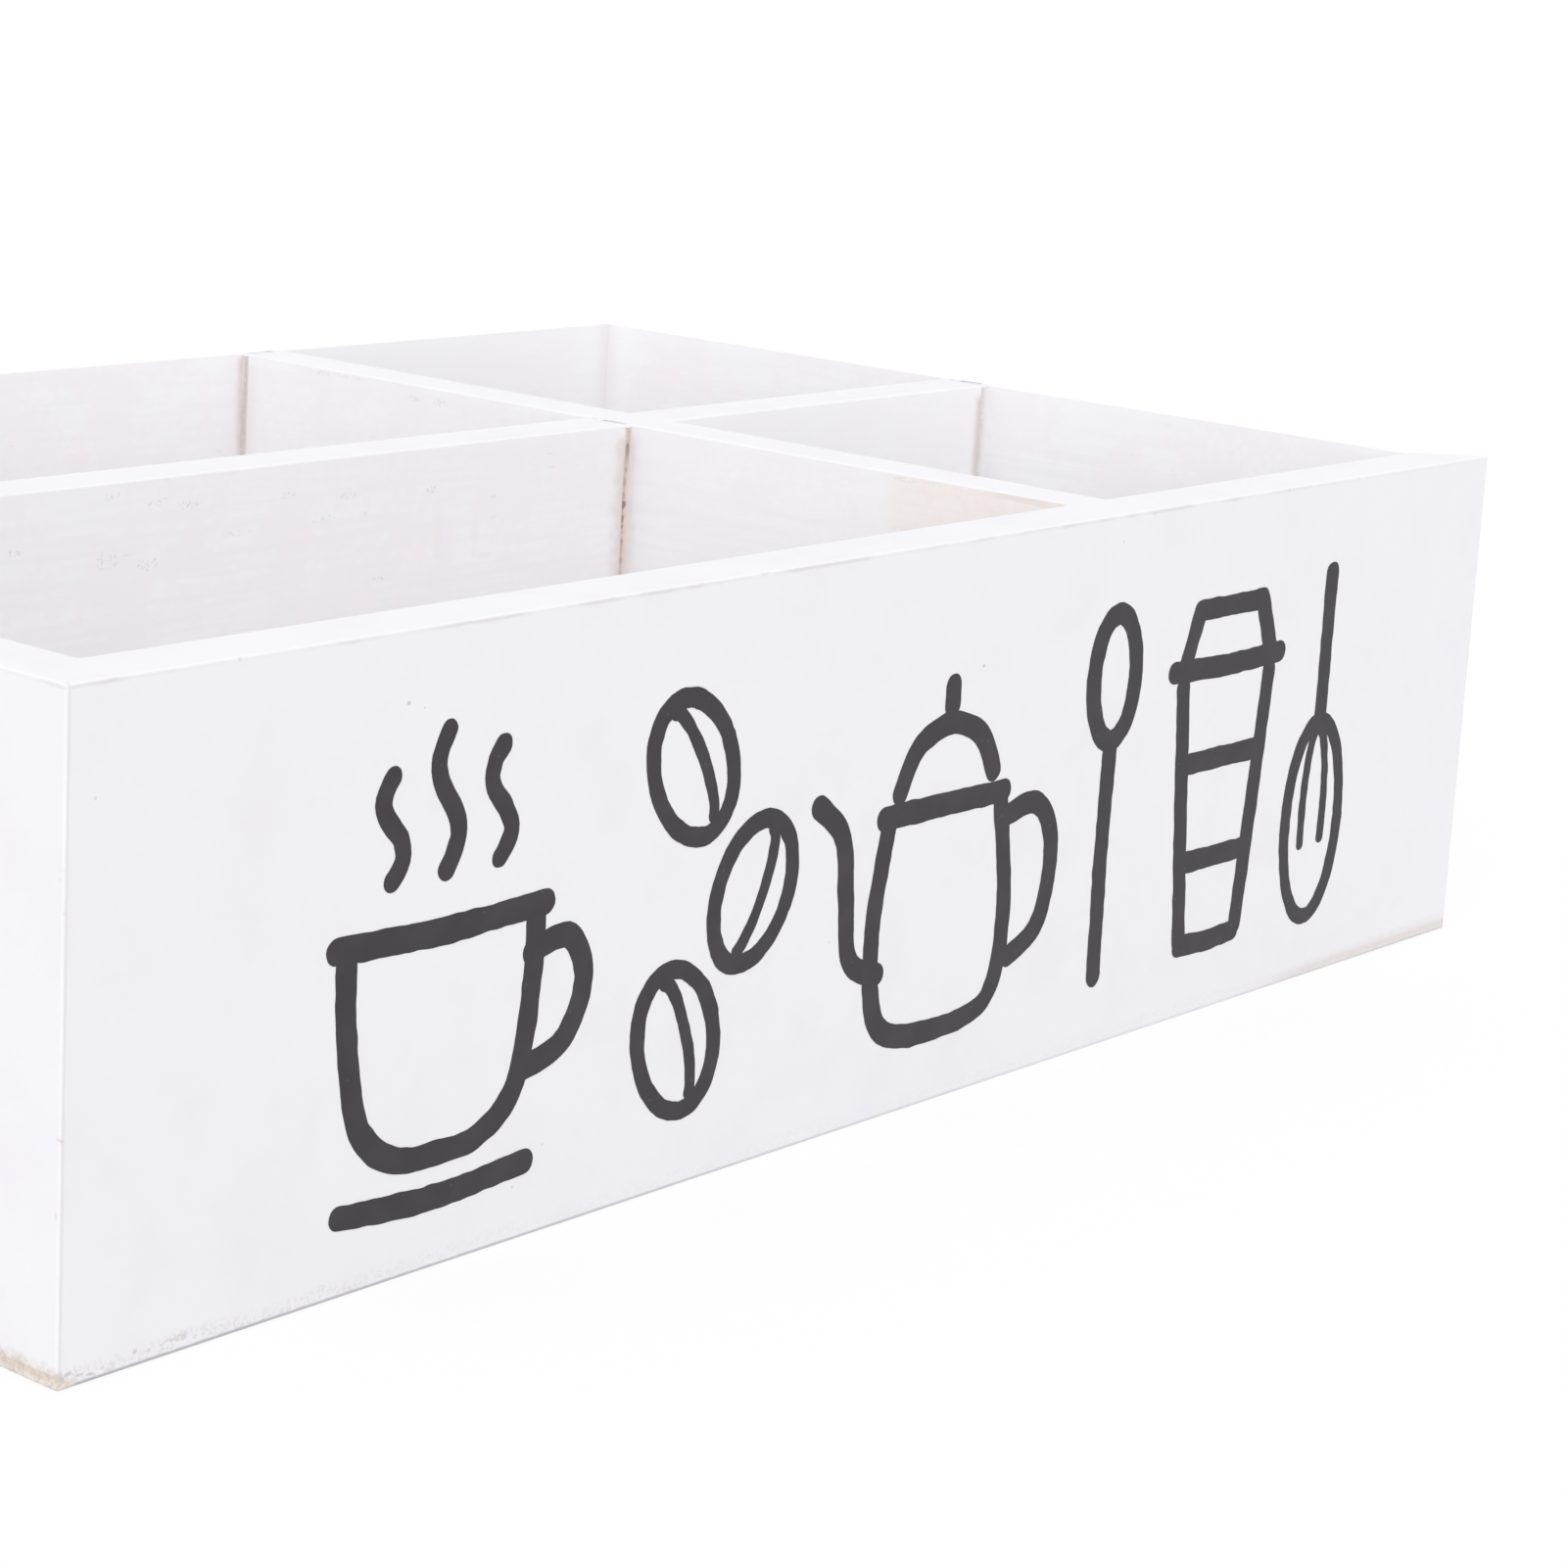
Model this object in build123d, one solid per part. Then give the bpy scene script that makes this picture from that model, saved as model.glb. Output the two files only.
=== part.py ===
from build123d import *
import os

# Coffee station organizer: a shallow wooden tray with four open compartments.
# Four boards meet in mitred corners and are pinned with brads. Two dividers cross in a half lap,
# butt against the boards and are pinned through them. A thin plywood base is pinned on from below.
# All sizes are millimetres. X runs along the front to the right, Y to the back and Z up.
# The origin is the middle of the underside.

# Outside of the case
case_length = 296.0
case_width = 196.0
case_height = 80.0

# Stock that the pieces are cut from
board_thickness = 9.5
divider_thickness = 9.0
base_thickness = 2.5

# Clear sizes of the front left compartment, which place both dividers
wide_bay_length = 183.4
front_bay_width = 85.7

# Rounding that sanding leaves on the glued case
corner_radius = 0.5
rim_radius = 0.3
foot_radius = 0.3

# Play between the dividers and what they meet
long_divider_gap = 2.2
cross_divider_gap = 1.6
lap_side_play = 1.5
lap_height_play = 0.2

# Wire brads: flat head, flat shank and chisel point
brad_head_width = 2.0
brad_head_depth = 1.3
brad_head_thickness = 0.6
brad_shank_width = 1.25
brad_shank_depth = 1.0
brad_point_length = 1.6
case_brad_length = 25.0
base_brad_length = 15.0
brad_play = 0.05

# How deep the heads are set, and how far the outermost brads stay from the ends and the corners
case_head_depth = 1.0
base_head_depth = 0.2
corner_brad_margin = 4.8
corner_brad_inset = 7.3
divider_brad_margin = 20.0
base_brad_margin = 26.0
corner_brads_per_joint = 3
divider_brads_per_end = 2
base_brads_per_side = 4
base_brads_per_end = 2

# One overrun lets every cut run clear of the wood
overrun = 5.0

# Faces and levels that follow from the sizes above
right_side = case_length / 2
left_side = -right_side
back_side = case_width / 2
front_side = -back_side
left_wall = left_side + board_thickness
right_wall = right_side - board_thickness
front_wall = front_side + board_thickness
back_wall = back_side - board_thickness
cross_left = left_wall + wide_bay_length
cross_right = cross_left + divider_thickness
cross_middle = (cross_left + cross_right) / 2
long_front = front_wall + front_bay_width
long_back = long_front + divider_thickness
long_middle = (long_front + long_back) / 2
lap_level = (base_thickness + case_height) / 2
end_board_middle = right_side - board_thickness / 2
side_board_middle = back_side - board_thickness / 2


def block(x_span, y_span, z_span):
    """A box between a low and a high value on each axis."""
    lengths = [high - low for low, high in (x_span, y_span, z_span)]
    corner = Pos(x_span[0], y_span[0], z_span[0])
    return corner * Box(*lengths, align=(Align.MIN, Align.MIN, Align.MIN))


def spread(low, high, count):
    """Evenly spaced values with the first at low and the last at high."""
    return [low + (high - low) * step / (count - 1) for step in range(count)]


# The glued case


def glued_case():
    """The case as if cut from one block, with the rounding that it gets once it is glued."""
    case = block((left_side, right_side), (front_side, back_side), (0, case_height))
    case = fillet(case.edges().filter_by(Axis.Z), corner_radius)
    for bay_length in ((left_wall, cross_left), (cross_right, right_wall)):
        for bay_width in ((front_wall, long_front), (long_back, back_wall)):
            case -= block(bay_length, bay_width, (base_thickness, case_height + overrun))
    rim = case.faces().sort_by(Axis.Z)[-1]
    case = fillet(rim.edges(), rim_radius)
    underside = case.faces().sort_by(Axis.Z)[0]
    return fillet(underside.edges(), foot_radius)


case = glued_case()


def mitred_board(outer_start, outer_end, inner_end, inner_start):
    """The part of the case inside a plan with mitred ends, above the base."""
    outline = Polyline(outer_start, outer_end, inner_end, inner_start, close=True)
    plan = Pos(0, 0, base_thickness) * make_face(outline)
    return case & extrude(plan, case_height)


outer_front_left = (left_side, front_side)
outer_front_right = (right_side, front_side)
outer_back_right = (right_side, back_side)
outer_back_left = (left_side, back_side)
inner_front_left = (left_wall, front_wall)
inner_front_right = (right_wall, front_wall)
inner_back_right = (right_wall, back_wall)
inner_back_left = (left_wall, back_wall)

front_board = mitred_board(
    outer_front_left, outer_front_right, inner_front_right, inner_front_left
)
back_board = mitred_board(
    outer_back_right, outer_back_left, inner_back_left, inner_back_right
)
left_end_board = mitred_board(
    outer_back_left, outer_front_left, inner_front_left, inner_back_left
)
right_end_board = mitred_board(
    outer_front_right, outer_back_right, inner_back_right, inner_front_right
)


# The base and the dividers, which cross in a half lap


def plywood_base():
    """The thin base, flush with the outside of the boards."""
    return case & block((left_side, right_side), (front_side, back_side), (0, base_thickness))


def long_divider_blank():
    """The divider along the length, tight at the left and short of the right end board."""
    run = (left_wall, right_wall - long_divider_gap)
    divider = case & block(run, (long_front, long_back), (base_thickness, case_height))
    slot_run = (cross_left - lap_side_play, cross_right)
    slot_rise = (lap_level - lap_height_play / 2, case_height + overrun)
    slot_width = (long_front - overrun, long_back + overrun)
    return divider - block(slot_run, slot_width, slot_rise)


def cross_divider_blank():
    """The divider across the width, tight at the front and short of the back board."""
    run = (front_wall, back_wall - cross_divider_gap)
    divider = case & block((cross_left, cross_right), run, (base_thickness, case_height))
    slot_run = (long_front - lap_side_play, long_back)
    slot_rise = (base_thickness - overrun, lap_level + lap_height_play / 2)
    slot_length = (cross_left - overrun, cross_right + overrun)
    return divider - block(slot_length, slot_run, slot_rise)


base_panel = plywood_base()
long_divider = long_divider_blank()
cross_divider = cross_divider_blank()


# Brads


def brad(length, play=0.0, over_head=0.0):
    """A brad driven down from the origin, or its hole, with play all round and over its head."""
    half_shank = brad_shank_width / 2 + play
    shoulder = play - brad_head_thickness / 2
    tip = -length - play
    outline = Polyline(
        (-half_shank, shoulder),
        (half_shank, shoulder),
        (half_shank, tip + brad_point_length),
        (0, tip),
        (-half_shank, tip + brad_point_length),
        close=True,
    )
    half_depth = brad_shank_depth / 2 + play
    shank = extrude(Plane.XZ * make_face(outline), half_depth, both=True)
    head = block(
        (-brad_head_width / 2 - play, brad_head_width / 2 + play),
        (-brad_head_depth / 2 - play, brad_head_depth / 2 + play),
        (-brad_head_thickness - play, over_head),
    )
    return shank + head


def driven(places, outward, across, length, over_head):
    """Brads with their heads at the places, and the holes that they are driven into."""
    seats = [Plane(origin=place, x_dir=across, z_dir=outward).location for place in places]
    brads = [seat * brad(length) for seat in seats]
    holes = [seat * brad(length, brad_play, over_head) for seat in seats]
    return brads, holes


def across_front(x_places, heights, outward):
    """Case brads through the front or the back board, under filler that closes the holes."""
    y = outward * (back_side - case_head_depth)
    places = [(x, y, z) for x in x_places for z in heights]
    return driven(places, (0, outward, 0), (1, 0, 0), case_brad_length, brad_play)


def across_end(y_places, heights, outward):
    """Case brads through an end board, under filler that closes the holes."""
    x = outward * (right_side - case_head_depth)
    places = [(x, y, z) for y in y_places for z in heights]
    return driven(places, (outward, 0, 0), (0, 1, 0), case_brad_length, brad_play)


corner_heights = spread(
    base_thickness + corner_brad_margin,
    case_height - corner_brad_margin,
    corner_brads_per_joint,
)
divider_heights = spread(
    base_thickness + divider_brad_margin,
    case_height - divider_brad_margin,
    divider_brads_per_end,
)
corner_places = (left_side + corner_brad_inset, right_side - corner_brad_inset)

front_corner_brads, front_corner_holes = across_front(corner_places, corner_heights, -1)
back_corner_brads, back_corner_holes = across_front(corner_places, corner_heights, 1)
cross_front_brads, cross_front_holes = across_front([cross_middle], divider_heights, -1)
cross_back_brads, cross_back_holes = across_front([cross_middle], divider_heights, 1)
long_left_brads, long_left_holes = across_end([long_middle], divider_heights, -1)
long_right_brads, long_right_holes = across_end([long_middle], divider_heights, 1)


def from_below(plan_places, across):
    """Base brads driven up at the plan places, in holes that stay open below."""
    places = [(x, y, base_head_depth) for x, y in plan_places]
    return driven(places, (0, 0, -1), across, base_brad_length, overrun)


side_x = spread(left_side + base_brad_margin, right_side - base_brad_margin, base_brads_per_side)
end_y = spread(front_side + base_brad_margin, back_side - base_brad_margin, base_brads_per_end)
side_places = [(x, y) for y in (-side_board_middle, side_board_middle) for x in side_x]
end_places = [(x, y) for x in (-end_board_middle, end_board_middle) for y in end_y]
long_places = [
    ((left_wall + cross_left) / 2, long_middle),
    ((cross_right + right_wall) / 2, long_middle),
]
cross_places = [
    (cross_middle, (front_wall + long_front) / 2),
    (cross_middle, (long_back + back_wall) / 2),
]

side_brads, side_holes = from_below(side_places, (1, 0, 0))
end_brads, end_holes = from_below(end_places, (0, 1, 0))
long_base_brads, long_base_holes = from_below(long_places, (1, 0, 0))
cross_base_brads, cross_base_holes = from_below(cross_places, (0, 1, 0))


# Holes in the wood


def bored(wood, *holes):
    """The piece with the brad holes that reach it cut out."""
    for hole in sum(holes, []):
        wood = wood - hole
    return wood


front_board = bored(front_board, front_corner_holes, cross_front_holes, side_holes)
back_board = bored(back_board, back_corner_holes, cross_back_holes, side_holes)
left_end_board = bored(
    left_end_board, front_corner_holes, back_corner_holes, long_left_holes, end_holes
)
right_end_board = bored(
    right_end_board, front_corner_holes, back_corner_holes, long_right_holes, end_holes
)
long_divider = bored(long_divider, long_left_holes, long_right_holes, long_base_holes)
cross_divider = bored(cross_divider, cross_front_holes, cross_back_holes, cross_base_holes)
base_panel = bored(base_panel, side_holes, end_holes, long_base_holes, cross_base_holes)


# One file for each piece, and one for each group of like brads

nodes = {
    "front_board": front_board,
    "back_board": back_board,
    "left_end_board": left_end_board,
    "right_end_board": right_end_board,
    "long_divider": long_divider,
    "cross_divider": cross_divider,
    "base_panel": base_panel,
    "front_corner_brads": Compound(front_corner_brads),
    "back_corner_brads": Compound(back_corner_brads),
    "long_divider_brads": Compound(long_left_brads + long_right_brads),
    "cross_divider_brads": Compound(cross_front_brads + cross_back_brads),
    "base_brads": Compound(side_brads + end_brads + long_base_brads + cross_base_brads),
}

os.makedirs("parts", exist_ok=True)
for name, piece in nodes.items():
    export_step(piece, f"parts/{name}.step")
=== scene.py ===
import math

import bmesh
import bpy
from mathutils import Matrix, Vector, geometry, noise


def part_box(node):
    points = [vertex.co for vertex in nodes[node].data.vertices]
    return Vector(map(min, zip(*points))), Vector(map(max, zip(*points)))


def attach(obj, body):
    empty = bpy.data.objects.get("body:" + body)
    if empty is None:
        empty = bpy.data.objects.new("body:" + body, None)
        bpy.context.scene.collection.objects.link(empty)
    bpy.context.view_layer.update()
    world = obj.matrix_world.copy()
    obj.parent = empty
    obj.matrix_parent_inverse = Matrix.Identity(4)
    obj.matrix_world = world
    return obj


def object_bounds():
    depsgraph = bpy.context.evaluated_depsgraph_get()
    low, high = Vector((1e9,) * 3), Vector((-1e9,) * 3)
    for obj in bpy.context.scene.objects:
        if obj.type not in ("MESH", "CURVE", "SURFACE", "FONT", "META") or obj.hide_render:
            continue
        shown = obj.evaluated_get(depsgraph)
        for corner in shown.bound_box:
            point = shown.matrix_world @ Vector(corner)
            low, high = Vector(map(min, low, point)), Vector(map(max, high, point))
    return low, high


# Coffee station organizer: a white painted tray with a charcoal design on its front.
# The wood comes from the frame. This script gives every board its paint and wear, and adds the
# printed design, the paint and filler in the narrow slits, and the filler over the brads.
# Lengths below are millimetres. X runs to the right along the front, Y to the back and Z up.

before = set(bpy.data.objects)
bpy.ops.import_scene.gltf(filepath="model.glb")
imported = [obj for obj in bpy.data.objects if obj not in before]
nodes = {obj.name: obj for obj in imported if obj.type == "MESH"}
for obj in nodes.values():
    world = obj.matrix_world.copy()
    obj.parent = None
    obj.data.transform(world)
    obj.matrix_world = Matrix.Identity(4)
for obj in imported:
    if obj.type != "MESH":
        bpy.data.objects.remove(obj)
cad_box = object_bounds()

MM = 0.001
HAIR = 0.02

# Faces of the case, its walls and its dividers
left_side, front_side, _ = cad_box[0] / MM
right_side, back_side, rim = cad_box[1] / MM
left_wall, long_front, base_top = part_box("long_divider")[0] / MM
long_end, long_back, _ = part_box("long_divider")[1] / MM
cross_left, _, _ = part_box("cross_divider")[0] / MM
cross_right, cross_end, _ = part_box("cross_divider")[1] / MM
board = left_wall - left_side
right_wall = right_side - board
back_wall = back_side - board
end_gap = right_wall - long_end
back_gap = back_wall - cross_end

# The play beside the crossing and the rounding of the rim, as the solids have them
lap_play = 1.5
rim_radius = 0.3


def shade(red, green, blue):
    """A colour that is named by how it looks on a screen, from 0 to 255, for a node socket."""
    shares = [value / 255 for value in (red, green, blue)]
    linear = [((share + 0.055) / 1.055) ** 2.4 for share in shares]
    return (*linear, 1)


# Colours of the paint, the wood, the filler, the metal and the print
sprayed_white = shade(241, 240, 245)
sprayed_shadow = shade(237, 235, 241)
# Grey for the sanded wear line below the rim, and for the painted shade line at the left corners
rubbed_line_and_corner_shade = shade(216, 213, 217)
# Painted contact shadow for the grey line along the foot
foot_contact_shadow = shade(188, 187, 190)
foot_grit = shade(208, 203, 203)
corner_dirt = shade(176, 166, 160)
# Painted light: a whiter tone for the far rims and for inner faces that lie in shade
painted_light_white = shade(252, 252, 253)
dust = shade(198, 194, 196)
thin_wash = shade(248, 248, 250)
thin_wash_grain = shade(243, 242, 245)
warm_wash = shade(247, 243, 245)
# Painted shade: a grey that darkens washed faces
painted_shade_grey = shade(224, 223, 224)
pore_grey = shade(219, 212, 213)
bare_patch = shade(240, 231, 222)
pink_patch = shade(239, 226, 221)
bare_wood = shade(236, 226, 221)
bare_wood_dark = shade(212, 203, 199)
rust_stain = shade(207, 183, 173)
# Stain in the dark gaps at the divider ends, and painted shade in the back right inner corner
gap_stain_and_corner_shade = shade(205, 190, 187)
slit_tan = shade(231, 218, 213)
slit_pale = shade(244, 241, 242)
slit_ash = shade(224, 216, 214)
# The slits' core and holes: filler and raw wood with painted shade of the gaps' depth
slit_grey_and_shade = shade(204, 195, 193)
slit_brown_and_shade = shade(204, 188, 180)
slit_hole_dark_and_shade = shade(134, 117, 109)
ply_face = shade(221, 198, 168)
ply_grain = shade(191, 160, 124)
ply_core = shade(206, 184, 158)
zinc = shade(190, 190, 188)
zinc_dull = shade(150, 149, 145)
charcoal = shade(42, 38, 48)
charcoal_worn = shade(80, 77, 84)
pure_white = (1, 1, 1, 1)


# Shader maths


class Field:
    """A value that varies over a surface, with arithmetic that adds Math nodes."""

    def __init__(self, finish, socket):
        self.finish = finish
        self.socket = socket

    def maths(self, operation, *values):
        places = dict(enumerate(values))
        return self.finish.node("ShaderNodeMath", {"operation": operation}, places)

    def __add__(self, other):
        return self.maths("ADD", self, other)

    def __sub__(self, other):
        return self.maths("SUBTRACT", self, other)

    def __rsub__(self, other):
        return self.maths("SUBTRACT", other, self)

    def __mul__(self, other):
        return self.maths("MULTIPLY", self, other)

    def __truediv__(self, other):
        return self.maths("DIVIDE", self, other)

    def __pow__(self, other):
        return self.maths("POWER", self, other)

    def __abs__(self):
        return self.maths("ABSOLUTE", self)

    __radd__ = __add__
    __rmul__ = __mul__

    def most(self, other):
        return self.maths("MAXIMUM", self, other)

    def rise(self, low, high):
        """0 below low, 1 above high, and a smooth step between them."""
        settings = {"interpolation_type": "SMOOTHSTEP"}
        places = {"Value": self, "From Min": low, "From Max": high}
        return self.finish.node("ShaderNodeMapRange", settings, places)

    def fall(self, low, high):
        """1 below low, 0 above high."""
        return 1 - self.rise(low, high)


class Finish:
    """A node tree that a material or the world is made in."""

    def __init__(self, owner):
        owner.use_nodes = True
        self.tree = owner.node_tree
        self.tree.nodes.clear()

    def node(self, kind, settings=None, places=None, out=(0,)):
        """Any node: settings first, then the values or links of its sockets. Gives its outputs."""
        made = self.tree.nodes.new(kind)
        for key, value in (settings or {}).items():
            setattr(made, key, value)
        for key, value in (places or {}).items():
            if isinstance(value, Field):
                self.tree.links.new(value.socket, made.inputs[key])
            else:
                made.inputs[key].default_value = value
        fields = [Field(self, made.outputs[name]) for name in out]
        return fields[0] if len(fields) == 1 else fields

    def point(self):
        """The place on the tray, in millimetres."""
        metres = self.node("ShaderNodeTexCoord", out=("Object",))
        return self.scaled(metres, 1 / MM)

    def scaled(self, vector, factor):
        places = {0: vector, "Scale": factor}
        return self.node("ShaderNodeVectorMath", {"operation": "SCALE"}, places)

    def stretched(self, vector, factors):
        places = {0: vector, 1: factors}
        return self.node("ShaderNodeVectorMath", {"operation": "MULTIPLY"}, places)

    def axes(self, vector):
        return self.node("ShaderNodeSeparateXYZ", places={0: vector}, out=("X", "Y", "Z"))

    def blend(self, share, first, second):
        """The first colour where share is 0, the second where it is 1."""
        settings = {"data_type": "RGBA"}
        return self.node("ShaderNodeMix", settings, {0: share, 6: first, 7: second}, out=(2,))

    def either(self, share, first, second):
        """The first vector where share is 0, the second where it is 1."""
        settings = {"data_type": "VECTOR"}
        return self.node("ShaderNodeMix", settings, {0: share, 4: first, 5: second}, out=(1,))

    def cloud(self, vector, size, detail=2.0, roughness=0.5):
        """Soft noise about 0.5 with features of the given size."""
        places = {"Vector": vector, "Scale": 1 / size, "Detail": detail, "Roughness": roughness}
        return self.node("ShaderNodeTexNoise", places=places)

    def specks(self, cells, radius, share):
        """A round speck in a share of the unit cells. Its radius is in cells."""
        distance, tint = self.node("ShaderNodeTexVoronoi", places={"Vector": cells, "Scale": 1.0},
                                   out=("Distance", "Color"))
        chance = self.axes(tint)[0]
        return chance.fall(share, share + HAIR) * (distance / radius).fall(0.5, 1.0)

    def surface(self, colour, roughness, height, **constants):
        """The finished surface. Height is in millimetres."""
        bump = self.node("ShaderNodeBump", places={"Height": height, "Distance": MM, "Strength": 1.0})
        places = {"Base Color": colour, "Roughness": roughness, "Normal": bump, **constants}
        shader = self.node("ShaderNodeBsdfPrincipled", places=places)
        self.node("ShaderNodeOutputMaterial", places={"Surface": shader}, out=())


def finish(name):
    """A new material and the node tree that makes it."""
    material = bpy.data.materials.new(name)
    return material, Finish(material)


# Wear on the painted outside of the front and back: X, Z, half length, half height and strength
front_chips = [
    (-141.6, 79.75, 0.6, 0.2, 0.35),
    (-123.6, 79.75, 0.35, 0.3, 0.6),
    (-34.0, 79.8, 0.9, 0.2, 0.4),
    (61.0, 79.8, 0.5, 0.2, 0.3),
    (108.2, 79.7, 0.5, 0.3, 0.35),
]
front_dust = [
    (-97.2, 71.2, 0.32, 0.3, 0.8),
    (-94.6, 70.3, 0.2, 0.2, 0.5),
    (14.1, 61.7, 0.35, 0.25, 0.8),
    (-140.6, 75.2, 0.22, 0.6, 0.9),
    (-76.4, 7.0, 0.25, 0.25, 0.6),
]
front_foot_rubs = [
    (-131.0, 1.6, 2.6, 0.7, 0.6),
    (-121.5, 2.0, 1.2, 0.4, 0.4),
    (-104.0, 1.2, 1.6, 0.4, 0.3),
]
front_corner_dirt = [
    (-147.3, 1.1, 0.35, 0.5, 1.0),
    (-146.2, 0.6, 0.5, 0.3, 0.9),
    (-146.4, 1.7, 0.7, 0.25, 0.7),
    (-145.0, 1.2, 0.7, 0.2, 0.7),
    (-143.4, 0.9, 0.6, 0.2, 0.6),
    (-136.9, 1.8, 0.35, 0.3, 0.7),
    (-134.8, 1.4, 0.3, 0.3, 0.5),
    (-129.6, 1.5, 0.5, 0.3, 0.5),
]
back_foot_rubs = [
    (-120.0, 0.9, 12.0, 0.7, 0.8),
    (-12.0, 1.2, 6.0, 0.5, 0.7),
    (73.0, 0.8, 11.0, 0.6, 0.8),
]
end_strip_height = 2.4
front_bare_start = 88.0
front_bare_fade = 22.0
front_bare_height = 2.4
front_bare_climb = 1.1
corner_worn_width = 3.2

# Grain that runs along X or along Y
along_x = (0.045, 1, 1)
along_y = (1, 0.045, 1)

# How far in from an outer face its own coat counts in full, and where it has faded out
coat_depth = 0.5
coat_end = 0.9


class Wood:
    """One piece's place on the tray, the masks of its faces, and the noises that its coats share."""

    def __init__(self, tree, stretch):
        self.tree = tree
        self.point = tree.point()
        self.x, self.y, self.z = tree.axes(self.point)
        self.along = tree.stretched(self.point, stretch)
        self.wander = tree.cloud(self.point, 1.6, 1.0, 0.6) - 0.5
        self.drift = tree.cloud(self.point, 14.0, 3.0, 0.6)
        self.peel = tree.cloud(self.point, 0.55, 1.0)
        self.grain = tree.cloud(self.along, 1.3, 3.0, 0.62)
        self.front = self.y.fall(front_side + coat_depth, front_side + coat_end)
        self.back = self.y.rise(back_side - coat_end, back_side - coat_depth)
        self.end = abs(self.x).rise(right_side - coat_end, right_side - coat_depth)

    def spots(self, places, across):
        """Ragged spots at a list of places, measured along one coordinate and up."""
        covered = 0
        for centre, level, half_length, half_height, strength in places:
            first = (across - centre) / half_length
            second = (self.z - level) / half_height
            distance = (first * first + second * second) ** 0.5
            spot = (distance + self.wander * 1.4).fall(0.7, 1.1) * strength
            covered = spot.most(covered)
        return covered

    def beside(self, coordinate, line, reach, ragged):
        """1 on a line, fading to 0 at its reach on both sides."""
        return (abs(coordinate - line) + self.wander * ragged).fall(0.0, reach)


def foot_wear(wood):
    """Where the sanded foot shows bare wood: all along the ends, and in places at front and back."""
    edge = wood.z + wood.wander * 1.7
    strip = wood.end * edge.fall(end_strip_height - 0.8, end_strip_height + 0.7)
    climb = (wood.x - front_bare_start) / (right_side - front_bare_start)
    heavy = wood.front * wood.x.rise(front_bare_start - 4, front_bare_start + front_bare_fade)
    level = wood.z + wood.wander * 0.7 - climb * front_bare_climb
    heavy = heavy * level.fall(0.2, front_bare_height) * 0.5
    corner = (abs(wood.x) + wood.wander * 2.4).rise(right_side - corner_worn_width, right_side - 1.6)
    corner = corner * edge.fall(0.9, 1.7) * (1 - wood.x.rise(0.0, 1.0) * 0.5)
    grit = wood.peel.rise(0.5, 0.66)
    front_rubs = wood.front * wood.spots(front_foot_rubs, wood.x) * grit
    back_rubs = wood.back * wood.spots(back_foot_rubs, wood.x) * grit
    return strip.most(heavy).most(corner).most(front_rubs).most(back_rubs)


def rim_wear(wood):
    """Chips along the outer edges."""
    top = wood.z.rise(rim - 1.0, rim - 0.45)
    side = wood.front.most(wood.back)
    edge = (top * wood.end).most(top * side).most(wood.end * side)
    chips = edge * (wood.wander + wood.drift).rise(0.78, 0.84) * 0.8
    return chips.most(wood.front * wood.spots(front_chips, wood.x))


def rubbed_edge(wood):
    """The fine broken line that sanding leaves below the rim outside."""
    line = rim - rim_radius - 0.1
    outside = wood.end.most(wood.front).most(wood.back)
    broken = wood.drift.rise(0.42, 0.58) * wood.x.fall(60.0, 120.0) * 0.6 + 0.1
    return outside * abs(wood.z + wood.wander * 0.3 - line).fall(0.0, 0.4) * broken


def corner_shade_line(wood):
    """A painted shade line: the fine grey line beside the upright corners at the left."""
    near = abs(wood.x + wood.wander * 0.12 - left_side - 0.36).fall(0.05, 0.26)
    return wood.front.most(wood.back) * near * 0.6


def foot_dirt_and_shadow(wood):
    """The painted contact shadow along the foot, a grey line strongest at the left, and the grit above
    it.
    """
    outside = wood.end.most(wood.front).most(wood.back)
    towards_left = wood.x.fall(-150.0, 60.0) * 0.8 + 0.2
    right_end = wood.x.rise(80.0, 120.0) * 0.2
    # The grey line along the foot is painted contact shadow where the tray meets the floor
    line = outside * (wood.z + wood.wander * 0.2).fall(0.32, 0.6) * (towards_left + right_end)
    level = wood.z + wood.wander * 1.6 + (wood.drift - 0.5) * 6
    grit = wood.front * wood.peel.rise(0.42, 0.66) * level.rise(0.1, 0.8) * level.fall(0.9, 3.0)
    grit = grit * (wood.x.fall(-140.0, -70.0) * 0.4 + 0.12)
    crumbs = wood.front * wood.spots(front_corner_dirt, wood.x)
    return [(grit, foot_grit), (crumbs * 0.6, corner_dirt), (line, foot_contact_shadow)]


def sprayed_colour(wood):
    """Smooth outside paint, drifting a little in tone."""
    return wood.tree.blend(wood.drift.rise(0.4, 0.75) * 0.6, sprayed_white, sprayed_shadow)


def washed_colour(wood):
    """The thin wash inside, with more grain and a warmer tinge lower down, towards the floor of the
    tray.
    """
    tree = wood.tree
    show = wood.z.fall(rim - 16, rim + 6) * 0.5 + 0.4
    colour = tree.blend(wood.grain.rise(0.36, 0.7) * show * 0.7, thin_wash, thin_wash_grain)
    tinge = (wood.drift + wood.wander * 0.35).rise(0.41, 0.6)
    return tree.blend(tinge * (show * 0.6 + 0.3), colour, warm_wash)


def bare_colour(wood):
    """Raw wood, crumbly and fibrous."""
    fibre = (wood.grain * 0.5 + wood.peel * 0.5).rise(0.38, 0.62)
    return wood.tree.blend(fibre, bare_wood_dark, bare_wood)


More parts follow.
